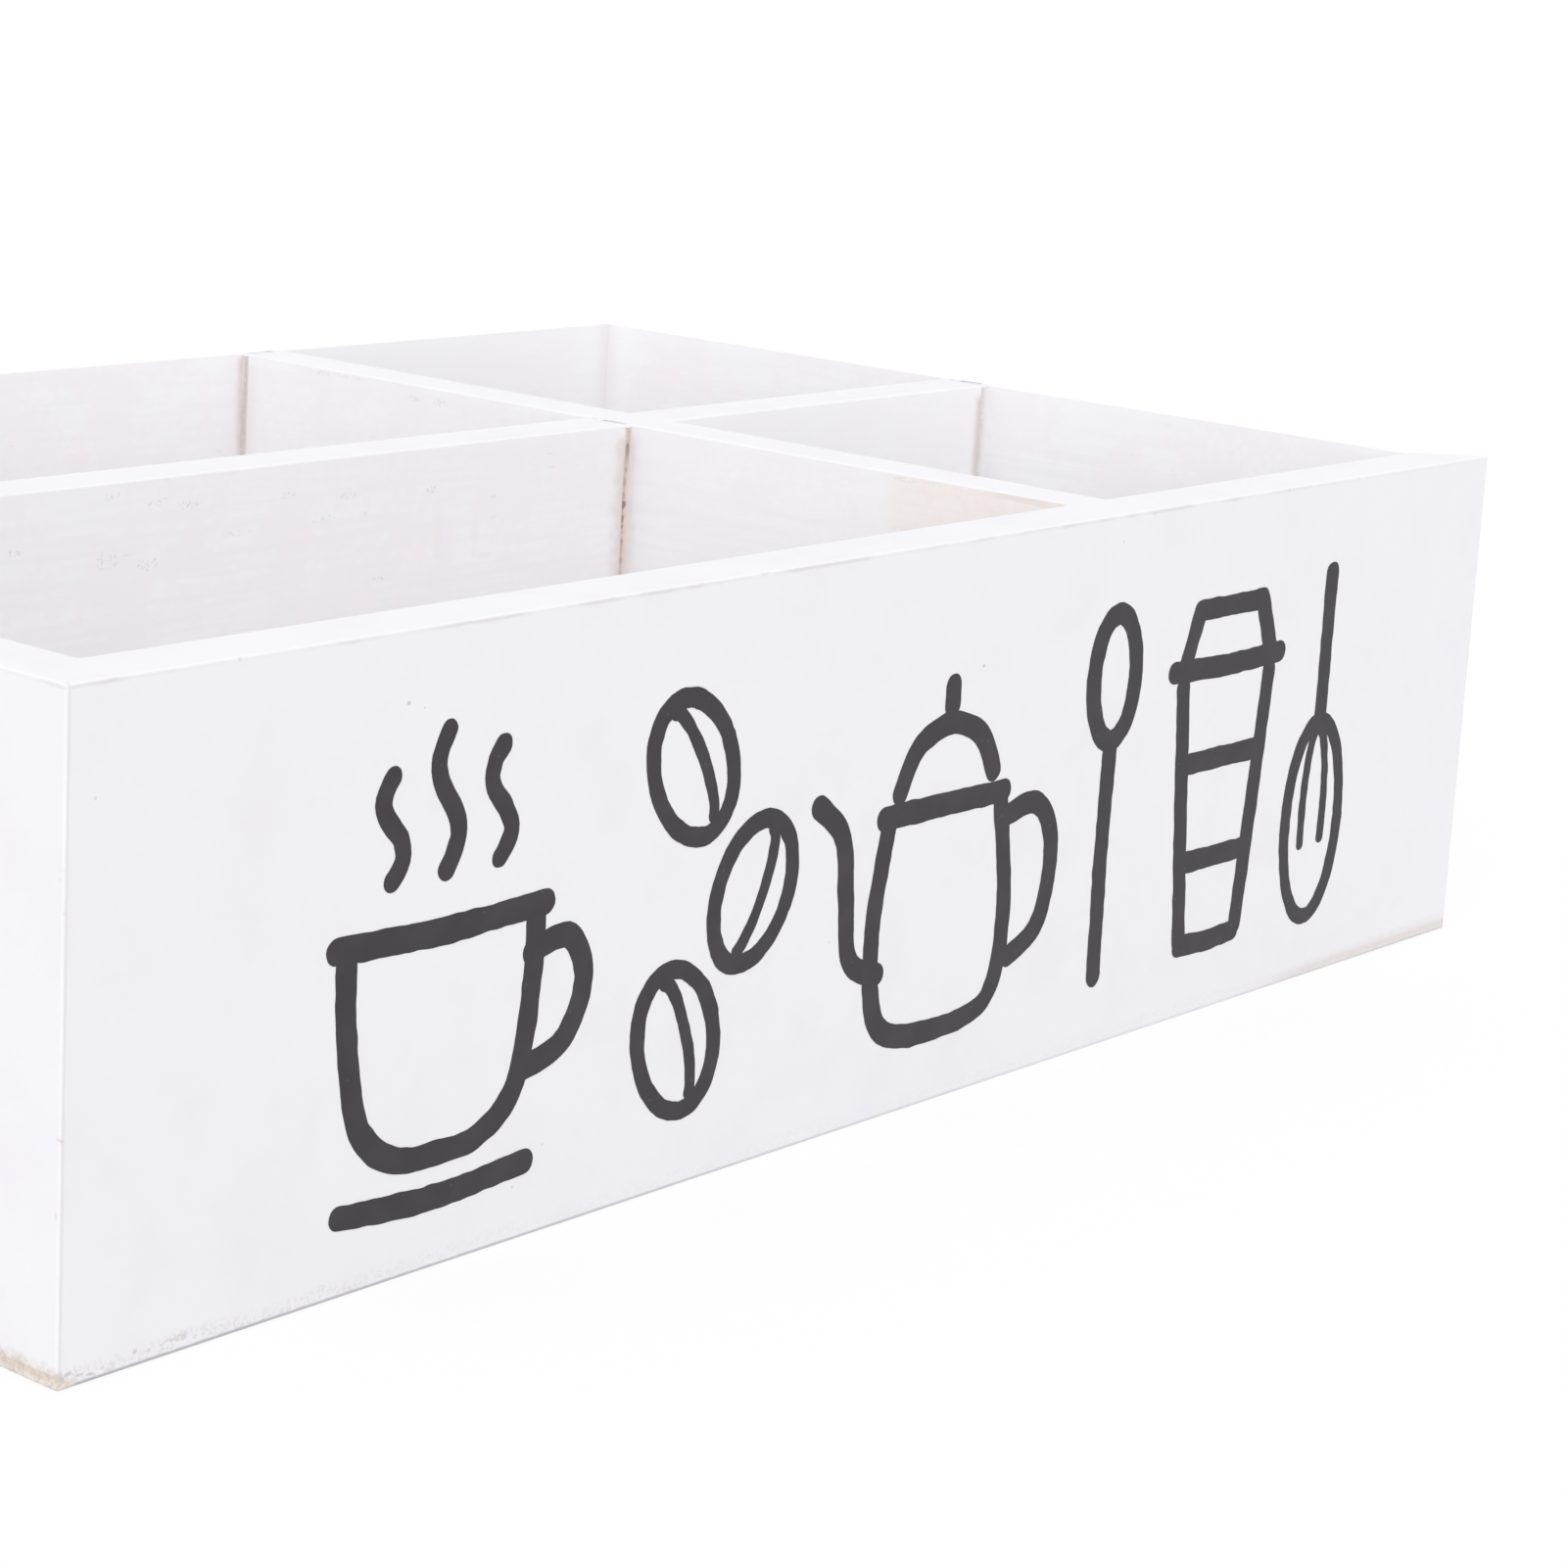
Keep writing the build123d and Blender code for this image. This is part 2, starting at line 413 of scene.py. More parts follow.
def painted_wood(wood, inside, worn, stains):
    """Sprayed paint with washed faces where inside is 1, then stains, then wear down to the wood."""
    tree = wood.tree
    outside_cells = tree.scaled(wood.point, 1 / 9.0)
    pore_cells = tree.stretched(wood.along, (3.4, 3.4, 0.8))
    cells = tree.either(inside, outside_cells, pore_cells)
    specks = tree.specks(cells, 0.03 + inside * 0.15, 0.2)
    colour = tree.blend(inside, sprayed_colour(wood), washed_colour(wood))
    pores = inside * wood.drift.rise(0.48, 0.62) * 0.4
    colour = tree.blend(specks * pores.most(0.8 - inside * 0.8), colour, pore_grey)
    for share, stain in stains:
        colour = tree.blend(share, colour, stain)
    colour = tree.blend(worn, colour, bare_colour(wood))
    roughness = 0.42 + wood.drift * 0.12 + inside * 0.16 + worn * 0.3
    height = wood.peel * (0.012 + worn * 0.07) + wood.grain * (0.003 + inside * 0.035 + worn * 0.06)
    tree.surface(colour, roughness, height - worn * 0.1)


def stained_gap(wood, across, low, high):
    """The stain on a board in the gap that a divider leaves, fading a little way to both sides."""
    place = across + wood.wander * 0.6
    return place.rise(low - 1.6, low + 0.4) * place.fall(high - 0.4, high + 1.6)


def wash_share(wood):
    """1 on the upright faces inside, up to a slightly wandering line just below the rim."""
    return (wood.z + wood.wander * 0.1).fall(rim - 0.16, rim - 0.04)


def case_board_paint(name, stretch, inner_face, far, behind, corner_shade_distance):
    """A board of the case: sprayed outside and on the rim, washed on its inner face. It has a painted
    highlight on the far rim, painted light in the short bay and painted shade in the back right
    corner.
    """
    material, tree = finish(name)
    wood = Wood(tree, stretch)
    inside = inner_face(wood) * wash_share(wood)
    worn = foot_wear(wood).most(rim_wear(wood))
    dusted = wood.front * wood.spots(front_dust, wood.x)
    short_bay_light = wood.x.rise(cross_right - 2, cross_right) * wood.y.rise(back_wall - 8, back_wall)
    stains = [
        # Painted highlight on the far rims, and painted light on the inner faces of the short bay at
        # the back right
        (far(wood) * wood.z.rise(rim - 0.2, rim - 0.02), painted_light_white),
        (far(wood) * inside * short_bay_light * 0.6, painted_light_white),
        # Painted shade in the back right inner corner
        (corner_shade_distance(wood).fall(-1.0, 5.0) * far(wood) * inside * 0.2, gap_stain_and_corner_shade),
        (behind(wood) * far(wood) * inside * wood.z.fall(rim - 1.2, rim - 0.5), gap_stain_and_corner_shade),
        # The sanded wear line below the rim, and the painted shade line beside the left corners
        (rubbed_edge(wood).most(corner_shade_line(wood)), rubbed_line_and_corner_shade),
        (dusted, dust),
    ]
    painted_wood(wood, inside, worn, stains)
    return material


# Marks on the dividers: X, Z, half length, half height and strength
smears = [
    (2.3, 66.2, 0.9, 3.6, 0.17),
    (10.3, 65.4, 0.9, 3.6, 0.15),
    (12.2, 62.2, 1.6, 0.5, 0.2),
]
speck_rows = [
    (-61.0, 78.0, 1.6, 0.7, 0.8),
    (-53.6, 76.2, 1.4, 0.6, 1.0),
    (-46.8, 75.7, 2.2, 0.7, 0.9),
    (-28.6, 75.2, 1.8, 0.5, 0.7),
    (-16.2, 74.1, 2.2, 0.5, 0.8),
    (1.2, 73.5, 2.0, 0.5, 1.0),
    (-78.2, 71.8, 1.6, 0.6, 1.0),
    (-62.0, 69.2, 2.6, 1.4, 0.8),
    (-55.2, 67.9, 2.4, 1.0, 0.9),
    (-38.5, 70.6, 3.0, 0.5, 0.5),
    (-21.6, 71.1, 2.4, 0.5, 0.5),
    (-13.1, 71.0, 1.0, 0.5, 0.8),
    (-9.8, 61.0, 1.6, 0.5, 0.8),
]
cross_specks = [
    (67.8, 79.0, 2.2, 0.4, 1.0),
    (62.0, 79.2, 3.2, 0.35, 0.6),
    (45.9, 77.7, 1.6, 0.4, 0.9),
    (39.7, 77.6, 2.2, 0.7, 0.8),
    (-58.0, 79.2, 2.2, 0.4, 0.8),
    (-64.0, 79.4, 2.0, 0.3, 0.8),
    (-68.2, 79.2, 1.4, 0.3, 0.6),
    (-58.5, 71.6, 2.4, 0.4, 0.7),
]
patch_start = -56.0


def long_divider_paint():
    """The long divider: rust beside the crossing, a stain at the end slit, smears and specks,
    with painted shade near the rim on its left part and painted light in the short bay.
    """
    material, tree = finish("painted_divider")
    wood = Wood(tree, along_x)
    faces = wash_share(wood)
    below = wood.z.fall(rim - 3.0, rim - 1.0) * faces
    halo = wood.beside(wood.x, cross_left - lap_play, 4.4, 2.4) ** 2 * 0.42
    core = wood.beside(wood.x, cross_left - lap_play, 0.9, 0.8) * 0.5
    end_core = wood.beside(wood.x, long_end - 0.2, 2.1, 0.5) ** 1.3
    grit = wood.peel.rise(0.5, 0.62)
    # Painted shade towards the rim on the left part, which would otherwise come out lighter
    upper_shade = faces * wood.z.rise(rim - 22, rim - 3) * wood.x.fall(cross_left - 2, cross_left)
    # Painted light on the face in the short bay, which lies in shade
    short_bay_light = faces * wood.x.rise(cross_right - 2, cross_right)
    stains = [
        (upper_shade * 0.2, painted_shade_grey),
        (short_bay_light * 0.6, painted_light_white),
        (halo.most(core) * below, rust_stain),
        (end_core * below * 0.6, gap_stain_and_corner_shade),
        (wood.spots(smears, wood.x) * faces, bare_patch),
        (wood.spots(speck_rows, wood.x) * grit * faces * 0.6, pore_grey),
    ]
    painted_wood(wood, faces, 0, stains)
    return material


def cross_divider_paint():
    """The cross divider: rust at the crossing and the back, a bare patch in front, and marks,
    with painted shade over all its washed faces.
    """
    material, tree = finish("painted_cross_divider")
    wood = Wood(tree, along_y)
    faces = wash_share(wood)
    below = wood.z.fall(rim - 3.0, rim - 1.0) * faces
    halo = wood.beside(wood.y, long_front, 3.2, 2.2) ** 2 * 0.2
    band = wood.beside(wood.y, cross_end, 3.2, 1.2) * 0.15
    left_face = wood.x.fall(cross_left + 0.3, cross_left + 0.5) * faces
    edge = wood.y + (wood.grain - 0.5) * 6 + wood.wander * 4
    patch = left_face * edge.fall(patch_start - 2, patch_start + 3)
    patch = patch * (wood.grain * 0.5 + wood.wander * 0.3 + 0.3)
    patch_tone = tree.blend((wood.wander * 0.6 + wood.drift).rise(0.36, 0.64), bare_patch, pink_patch)
    top_edge = (wood.z + wood.wander * 0.8).rise(rim - 1.3, rim - 0.7)
    streak = left_face * top_edge * (wood.y + wood.drift * 8).fall(-76.0, -66.0)
    marks = left_face * wood.spots(cross_specks, wood.y) * wood.peel.rise(0.36, 0.66)
    stains = [
        # Painted shade over all the washed faces
        (faces * 0.3, painted_shade_grey),
        (halo.most(band) * below, rust_stain),
        (patch, patch_tone),
        (streak * wood.grain.rise(0.36, 0.56) * 0.4, bare_wood_dark),
        (marks * 0.5, pore_grey),
    ]
    painted_wood(wood, faces, 0, stains)
    return material


def base_ply_finish():
    """Thin plywood: washed above, bare below, and painted at the edges down to the worn foot,
    with a painted contact shadow along the foot and a painted shade line at the left corners.
    """
    material, tree = finish("plywood_base")
    wood = Wood(tree, along_x)
    outside = wood.end.most(wood.front).most(wood.back)
    below = wood.z.fall(0.02, 0.06)
    worn = foot_wear(wood).most(below)
    paint = tree.blend(outside, washed_colour(wood), sprayed_colour(wood))
    # Painted shade: the grey line beside the left corners and the contact shadow along the foot; the
    # grit and crumbs are dirt
    for share, stain in [(corner_shade_line(wood), rubbed_line_and_corner_shade), *foot_dirt_and_shadow(wood)]:
        paint = tree.blend(share, paint, stain)
    level = wood.z / base_top
    middle_ply = level.rise(0.3, 0.36) * level.fall(0.64, 0.7)
    edge = tree.blend(middle_ply * 0.35, bare_colour(wood), ply_core)
    rings = (wood.grain * 0.65 + wood.drift * 0.35).rise(0.4, 0.62)
    ply = tree.blend(rings, ply_face, ply_grain)
    colour = tree.blend(worn, paint, tree.blend(below, edge, ply))
    roughness = 0.5 + worn * 0.3
    height = wood.peel * (0.012 + worn * 0.06) + wood.grain * (0.04 + worn * 0.06)
    tree.surface(colour, roughness, height)
    return material


def zinc_finish():
    """Zinc plated wire with fine drawing marks."""
    material, tree = finish("zinc_wire")
    point = tree.point()
    bloom = tree.cloud(point, 0.5, 3.0)
    marks = tree.cloud(tree.stretched(point, (1, 1, 0.08)), 0.12, 2.0)
    colour = tree.blend(bloom, zinc, zinc_dull)
    tree.surface(colour, 0.28 + bloom * 0.25, marks * 0.01, Metallic=1.0)
    return material


def charcoal_finish():
    """The printed charcoal, with pale flecks where the paint below shows."""
    material, tree = finish("charcoal_print")
    point = tree.point()
    wash = tree.cloud(point, 7.0, 2.0)
    flecks = tree.specks(tree.scaled(point, 1 / 2.0), 0.12, 0.4)
    peel = tree.cloud(point, 0.6, 1.0)
    colour = tree.blend(wash.rise(0.4, 0.7) * 0.2 + flecks * 0.6, charcoal, charcoal_worn)
    tree.surface(colour, 0.46 + wash * 0.14, peel * 0.012)
    return material


# Dark holes in the filler at the crossing, their darkness painted shade of deep holes: distance
# left of the cross divider, Z, half width, half height and strength
crossing_holes = [
    (0.62, 76.1, 0.5, 1.1, 0.5),
    (0.72, 74.8, 0.45, 0.6, 0.3),
    (0.85, 72.8, 0.45, 0.4, 0.25),
    (1.05, 70.8, 0.5, 0.7, 0.2),
    (1.15, 68.6, 0.5, 0.5, 0.3),
    (1.25, 67.1, 0.8, 0.8, 0.8),
    (1.2, 64.9, 0.75, 0.75, 0.6),
    (1.15, 63.7, 0.5, 0.4, 0.5),
    (1.1, 61.2, 0.5, 0.5, 0.35),
    (1.1, 58.2, 0.5, 0.5, 0.25),
    (0.9, 54.5, 0.5, 0.6, 0.6),
    (0.8, 50.2, 0.5, 0.5, 0.6),
    (0.8, 46.4, 0.5, 0.6, 0.5),
]


def slit_finish():
    """Crumbly filler in the slits: a brown line with darker holes, and paler filler beside it.
    The line and the holes are filler and raw wood with painted shade of the gap's depth.
    """
    material, tree = finish("slit_filler")
    wood = Wood(tree, (1, 1, 1))
    crumb = tree.cloud(wood.point, 0.8, 3.0, 0.65)
    lean = wood.z.rise(rim - 13, rim - 2)
    crossing_line = abs(wood.x - (cross_left - 1.25 + lean * 0.65)) / 0.85
    lap_line = abs(wood.y - (long_front - lap_play / 2)) / 0.8
    end_line = abs(wood.x - (long_end - 0.2)) / 2.2
    back_line = abs(wood.y - (cross_end + 1.1 - lean * 0.6)) / 0.95
    lines = [line.fall(0.1, 1.0) for line in (crossing_line, lap_line, end_line, back_line)]
    core = lines[0].most(lines[1]).most(lines[2] * 0.6).most(lines[3])
    at_back = wood.y.rise(back_wall - 3, back_wall - 2.5)
    colour = tree.blend(wood.x.rise(right_wall - 3, right_wall - 2.5), slit_tan, slit_pale)
    colour = tree.blend(at_back, colour, slit_ash)
    # The dark core is filler and raw wood with painted shade of the gap's depth
    dark = tree.blend(at_back, slit_brown_and_shade, slit_grey_and_shade)
    colour = tree.blend(core * (crumb * 1.6).rise(0.2, 1.0), colour, dark)
    holes = [(cross_left - reach, level, *rest) for reach, level, *rest in crossing_holes]
    # The holes' darkness is painted shade of deep holes, on pits that are kept shallow
    colour = tree.blend(wood.spots(holes, wood.x), colour, slit_hole_dark_and_shade)
    tree.surface(colour, 0.85, crumb * 0.12)
    return material


def thick_paint_finish():
    """The outside paint where it lies thick, over the slits and the brads."""
    material, tree = finish("thick_white")
    wood = Wood(tree, along_x)
    tree.surface(sprayed_colour(wood), 0.42 + wood.drift * 0.12, wood.peel * 0.012)
    return material


def dress(node, material):
    """Gives a piece from the frame its finish."""
    mesh = nodes[node].data
    mesh.materials.clear()
    mesh.materials.append(material)


front_and_back_paint = case_board_paint(
    "painted_board", along_x,
    inner_face=lambda wood: abs(wood.y).fall(back_wall + 0.05, back_wall + 0.1),
    far=lambda wood: wood.y.rise(0.0, HAIR),
    behind=lambda wood: stained_gap(wood, wood.x, cross_left, cross_right) * 0.45,
    corner_shade_distance=lambda wood: right_wall - wood.x,
)
end_board_paint = case_board_paint(
    "painted_end_board", along_y,
    inner_face=lambda wood: abs(wood.x).fall(right_wall + 0.05, right_wall + 0.1),
    far=lambda wood: wood.x.rise(0.0, HAIR),
    behind=lambda wood: stained_gap(wood, wood.y, long_front, long_back) * 0.08,
    corner_shade_distance=lambda wood: back_wall - wood.y,
)
brad_zinc = zinc_finish()
print_charcoal = charcoal_finish()
filler_brown = slit_finish()
thick_white = thick_paint_finish()

dress("front_board", front_and_back_paint)
dress("back_board", front_and_back_paint)
dress("left_end_board", end_board_paint)
dress("right_end_board", end_board_paint)
dress("long_divider", long_divider_paint())
dress("cross_divider", cross_divider_paint())
dress("base_panel", base_ply_finish())
brad_nodes = [name for name in nodes if name.endswith("_brads")]
for name in brad_nodes:
    dress(name, brad_zinc)


# Added pieces


def add_piece(name, corners, faces, material):
    """A mesh from corners in millimetres, which rides with the tray."""
    mesh = bpy.data.meshes.new(name)
    mesh.from_pydata([Vector(corner) * MM for corner in corners], [], faces)
    mesh.validate()
    tidy = bmesh.new()
    tidy.from_mesh(mesh)
    bmesh.ops.recalc_face_normals(tidy, faces=tidy.faces)
    tidy.to_mesh(mesh)
    tidy.free()
    mesh.materials.append(material)
    piece = bpy.data.objects.new(name, mesh)
    bpy.context.scene.collection.objects.link(piece)
    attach(piece, "root")
    return piece


# Paint and filler in the slits, and filler over the brads

slit_step = 0.25
filler_thickness = 1.5
filler_hollow = 0.1
crumb_depth = 0.06
crumb_length = 1.3
ripple_depth = 0.05
ripple_length = 6.0
pit_depth = 0.15
bridge_depth = 0.4
bridge_overlap = 0.2
bridge_sag = 0.05
bridge_sink = 0.008
bridge_lump = 0.25
bridge_rough = 0.015
bridge_side_share = 0.04


def filler_depth(level, share, width, seed, pits):
    """How far the filler lies back at one level, at a share of the way across the slit."""
    rough = noise.noise((level / crumb_length, seed, share * 2.0))
    broad = noise.noise((level / ripple_length, seed, 4.4))
    hollow = (4 * share * (1 - share)) ** 0.4
    depth = HAIR + (filler_hollow + crumb_depth * rough + ripple_depth * broad) * hollow
    for place, centre, half_width, half_height, strength in pits:
        distance = math.hypot((level - centre) / half_height, (share * width - place) / half_width)
        depth += pit_depth * strength * max(0.0, 1 - distance ** 2)
    return depth


def slit_filler(name, put, width, span, seed, pits):
    """A strand of filler in a slit. put turns across, inward and up into a place."""
    low, high = span
    columns = 8
    rows = round((high - low) / slit_step)
    corners, faces = [], []
    for row in range(rows + 1):
        level = low + (high - low) * row / rows
        for column in range(columns + 1):
            share = column / columns
            depth = filler_depth(level, share, width, seed, pits)
            corners.append(put(share * width, depth, level))
    ring = columns + 1
    for row in range(rows):
        for column in range(columns):
            first = row * ring + column
            faces.append([first, first + 1, first + 1 + ring, first + ring])
    back = len(corners)
    for level in (low, high):
        corners.extend([put(0.0, filler_thickness, level), put(width, filler_thickness, level)])
    top_row = rows * ring
    faces.append([back, back + 1, *range(columns, -1, -1)])
    faces.append([back + 3, back + 2, *range(top_row, top_row + ring)])
    faces.append([back + 1, back, back + 2, back + 3])
    faces.append([back, *range(0, top_row + 1, ring), back + 2][::-1])
    faces.append([back + 1, *range(columns, top_row + ring, ring), back + 3])
    return add_piece(name, corners, faces, filler_brown)


def fill_slits():
    """Fills every narrow slit at the dividers' crossing and ends, from both sides."""
    lap = (base_top + rim) / 2
    top = rim - bridge_depth + bridge_overlap
    crossing = cross_left - lap_play
    pits = [(lap_play - reach, *rest) for reach, *rest in crossing_holes]
    at_crossing = (lap_play, (lap, top), pits)
    at_lap = (lap_play, (base_top, lap), [])
    at_end = (end_gap, (base_top, top), [])
    at_back = (back_gap, (base_top, top), [])
    slits = [
        ("crossing_front_filler", lambda u, d, z: (crossing + u, long_front + d, z), at_crossing),
        ("crossing_back_filler", lambda u, d, z: (crossing + u, long_back - d, z), at_crossing),
        ("lap_left_filler", lambda u, d, z: (cross_left + d, long_front - u, z), at_lap),
        ("lap_right_filler", lambda u, d, z: (cross_right - d, long_front - u, z), at_lap),
        ("end_front_filler", lambda u, d, z: (long_end + u, long_front + d, z), at_end),
        ("end_back_filler", lambda u, d, z: (long_end + u, long_back - d, z), at_end),
        ("back_left_filler", lambda u, d, z: (cross_left + d, cross_end + u, z), at_back),
        ("back_right_filler", lambda u, d, z: (cross_right - d, cross_end + u, z), at_back),
    ]
    for seed, (name, put, (width, span, pits)) in enumerate(slits):
        slit_filler(name, put, width, span, 5.7 * seed, pits)


def paint_bridge(name, put, width, span):
    """Paint that closes the top of a slit. put turns across, along the divider's thickness and up."""
    low, high = span[0] + HAIR, span[1] - HAIR
    profile = [(low, 0.0)]
    arc_steps = 6
    for index in range(arc_steps + 1):
        angle = math.radians(180 - 90 * index / arc_steps)
        drop = rim_radius * (1 - math.sin(angle))
        profile.append((low + rim_radius * (1 + math.cos(angle)), bridge_depth - drop))
    flat = high - low - 2 * rim_radius
    inner = 10
    for index in range(1, inner):
        profile.append((low + rim_radius + flat * index / inner, bridge_depth))
    profile += [(low + high - place, level) for place, level in reversed(profile)]
    stations = 6
    corners, faces = [], []
    for station in range(stations + 1):
        share = station / stations
        across = (share * (1 + 2 * bridge_side_share) - bridge_side_share) * width
        sag = bridge_sag * math.sin(math.pi * share) + bridge_sink
        for place, level in profile:
            lump = 0.0
            if level == 0.0:
                lump = bridge_lump * noise.noise((place * 1.7, share * 2.0, 6.1))
            rough = bridge_rough * noise.noise((place * 1.1, share * 3.0, 2.7))
            height = rim - bridge_depth + level - sag + lump + rough
            corners.append(put(across, place, height))
    ring = len(profile)
    for station in range(stations):
        for index in range(ring):
            first, second = station * ring + index, station * ring + (index + 1) % ring
            faces.append([first, second, second + ring, first + ring])
    faces.append(list(range(ring))[::-1])
    faces.append(list(range(stations * ring, (stations + 1) * ring)))
    return add_piece(name, corners, faces, thick_white)


def bridge_slits():
    """Closes the three slits at the top, where the paint runs over them."""
    long_span, cross_span = (long_front, long_back), (cross_left, cross_right)
    crossing = cross_left - lap_play
    paint_bridge("crossing_bridge", lambda u, v, z: (crossing + u, v, z), lap_play, long_span)
    paint_bridge("end_bridge", lambda u, v, z: (long_end + u, v, z), end_gap, long_span)
    paint_bridge("back_bridge", lambda u, v, z: (v, cross_end + u, z), back_gap, cross_span)


def islands(mesh):
    """The separate solids in a mesh, in its own order, each as its corner places in millimetres."""
    net = bmesh.new()
    net.from_mesh(mesh)
    bmesh.ops.remove_doubles(net, verts=net.verts, dist=HAIR * MM / 10)
    waiting = dict.fromkeys(net.verts)
    found = []
    while waiting:
        first = next(iter(waiting))
        del waiting[first]
        group, edge = [], [first]
        while edge:
            vertex = edge.pop()
            group.append(vertex.co / MM)
            for link in vertex.link_edges:
                other = link.other_vert(vertex)
                if other in waiting:
                    del waiting[other]
                    edge.append(other)
        found.append(group)
    net.free()
    return found


dab_radius = 1.5
dab_height = 0.03
dab_stretch = 1.2
dab_ragged_share = 0.22
dimple_share = 0.6


def filler_dab(name, centre, axis, outward, seed):
    """A low dab of filler and paint over a brad's head, on a face square to an axis."""
    spokes, rings = 28, 5
    flat = [direction for direction in range(3) if direction != axis]
    corners = []
    for ring in range(rings + 1):
        share = ring / rings
        for spoke in range(spokes if ring else 1):
            angle = 2 * math.pi * spoke / spokes
            turn = (math.cos(angle) * 1.3, math.sin(angle) * 1.3, seed)
            ragged = 1 + dab_ragged_share * noise.noise(turn)
            reach = dab_radius * share * ragged
            place = list(centre)
            place[flat[0]] += reach * math.cos(angle)
            place[flat[1]] += reach * math.sin(angle) * dab_stretch
            dimple = dimple_share * (1 - share) ** 4
            swell = math.cos(share * math.pi) * 0.5 + 0.5 - dimple
            place[axis] += outward * (dab_height * swell - HAIR * share)
            corners.append(place)
    faces = [[0, 1 + spoke, 1 + (spoke + 1) % spokes] for spoke in range(spokes)]
    for ring in range(1, rings):
        inner, outer = 1 + (ring - 1) * spokes, 1 + ring * spokes
        for spoke in range(spokes):
            following = (spoke + 1) % spokes
            faces.append([inner + spoke, outer + spoke, outer + following, inner + following])
    faces.append(list(range(1 + (rings - 1) * spokes, 1 + rings * spokes))[::-1])
    return add_piece(name, corners, faces, thick_white)


def cover_brads():
    """Dabs the filler over each brad that is driven through the front, the back or an end."""
    sides = {
        "front_corner_brads": 1,
        "back_corner_brads": 1,
        "cross_divider_brads": 1,
        "long_divider_brads": 0,
    }
    seed = 0
    for node, axis in sides.items():
        for solid in islands(nodes[node].data):
            middle = sum(solid, Vector()) / len(solid)
            outward = 1 if middle[axis] > 0 else -1
            middle[axis] = outward * abs(cad_box[1][axis]) / MM
            name = node.removesuffix("_brads")
            filler_dab(f"{name}_dab_{seed}", middle, axis, outward, seed * 2.9)
            seed += 1


fill_slits()
bridge_slits()
cover_brads()


# The printed design: brush strokes, each a list of points in X and Z from the motif's corner

stroke_width = 3.4
thin_stroke_width = 2.7
crease_width = 2.0
inner_loop_width = 1.9
step_length = 0.7
stroke_swell_share = 0.09
stroke_swell_length = 9
edge_waver = 0.16
edge_waver_length = 1.7
cap_waver_share = 0.1
print_height = 0.05
design_left = -110.0
design_foot = 9.0


def arc(centre_x, centre_z, reach_x, reach_z, start, end, turn=0.0, count=28):
    """Points along part of an ellipse, with angles in degrees and the ellipse turned by turn."""
    lean = math.radians(turn)
    points = []
    for index in range(count + 1):
        angle = math.radians(start + (end - start) * index / count)
        x, z = reach_x * math.cos(angle), reach_z * math.sin(angle)
        points.append((
            centre_x + x * math.cos(lean) - z * math.sin(lean),
            centre_z + x * math.sin(lean) + z * math.cos(lean),
        ))
    return points


def wave(x, low, high, sway):
    """A line that rises in two gentle bends, as steam does."""
    count = 18
    points = []
    for index in range(count + 1):
        share = index / count
        points.append((x + sway * math.sin(share * 2 * math.pi), low + (high - low) * share))
    return points


def smoothed(points):
    """A curve through a few given points."""
    steps = 8
    curve = []
    padded = [points[0], *points, points[-1]]
    for index in range(len(points) - 1):
        corners = [Vector(corner) for corner in padded[index:index + 4]]
        before, start, end, after = corners
        for step in range(steps):
            share = step / steps
            curve.append(tuple(
                0.5 * (2 * start + (end - before) * share
                       + (2 * before - 5 * start + 4 * end - after) * share ** 2
                       + (3 * start - before - 3 * end + after) * share ** 3)
            ))
    return curve + [points[-1]]


def evenly(points):
    """The same line with points at even steps."""
    spaced = [Vector(points[0])]
    for corner in points[1:]:
        target = Vector(corner)
        while (target - spaced[-1]).length >= step_length:
            spaced.append(spaced[-1] + (target - spaced[-1]).normalized() * step_length)
    return spaced


def brush_quads(points, width, seed):
    """One stroke as quads with wavering edges, and a fan at each round end."""
    line = evenly(points)
    last = len(line) - 1
    left, right = [], []
    for index, here in enumerate(line):
        run = (line[min(index + 1, last)] - line[max(index - 1, 0)]).normalized()
        normal = Vector((-run.y, run.x))
        travel = index * step_length
        swell = stroke_swell_share * noise.noise((travel / stroke_swell_length, seed, 0.5))
        place = travel / edge_waver_length
        waver = [edge_waver * noise.noise((place, seed, side)) for side in (3.3, 7.7)]
        half = width / 2 * (1 + swell)
        left.append(here + normal * (half + waver[0]))
        right.append(here - normal * (half + waver[1]))
    faces = [[right[i], right[i + 1], left[i + 1], left[i]] for i in range(last)]
    for centre, start, end in ((line[0], left[0], right[0]), (line[-1], right[-1], left[-1])):
        faces.append([centre + cap for cap in round_cap(start - centre, end - centre, seed)])
    return faces


def round_cap(start, end, seed):
    """Points of a half circle from start round to end, a little uneven."""
    count = 10
    points = []
    for index in range(count + 1):
        turn = Matrix.Rotation(math.pi * index / count, 2)
        reach = start.lerp(-end, index / count)
        waver = cap_waver_share * noise.noise((index / 3, seed, 11.0))
        uneven = 1 + waver * math.sin(math.pi * index / count)
        points.append(turn @ reach * uneven)
    return points


def mug_motif():
    """A mug with a handle, a saucer and steam."""
    lip = [(2.5, 34), (20, 33.4), (37.5, 34)]
    left_half = [(4, 34), (4.6, 22), (7, 11), (13, 6.2)]
    right_half = [(27, 6.2), (33, 11), (35.4, 22), (36, 34)]
    body = smoothed([*left_half, (20, 5.6), *right_half])
    handle = smoothed([(35.4, 28), (42, 29), (45, 23), (41.5, 15.5), (33.5, 13)])
    saucer = smoothed([(4, 1), (20, 0), (36, 1)])
    steam = [wave(x, 41, high, 1.9) for x, high in ((11, 54), (20, 58.5), (29, 55))]
    strokes = [(stroke, stroke_width) for stroke in (lip, body, handle, saucer)]
    return strokes + [(stroke, thin_stroke_width) for stroke in steam]


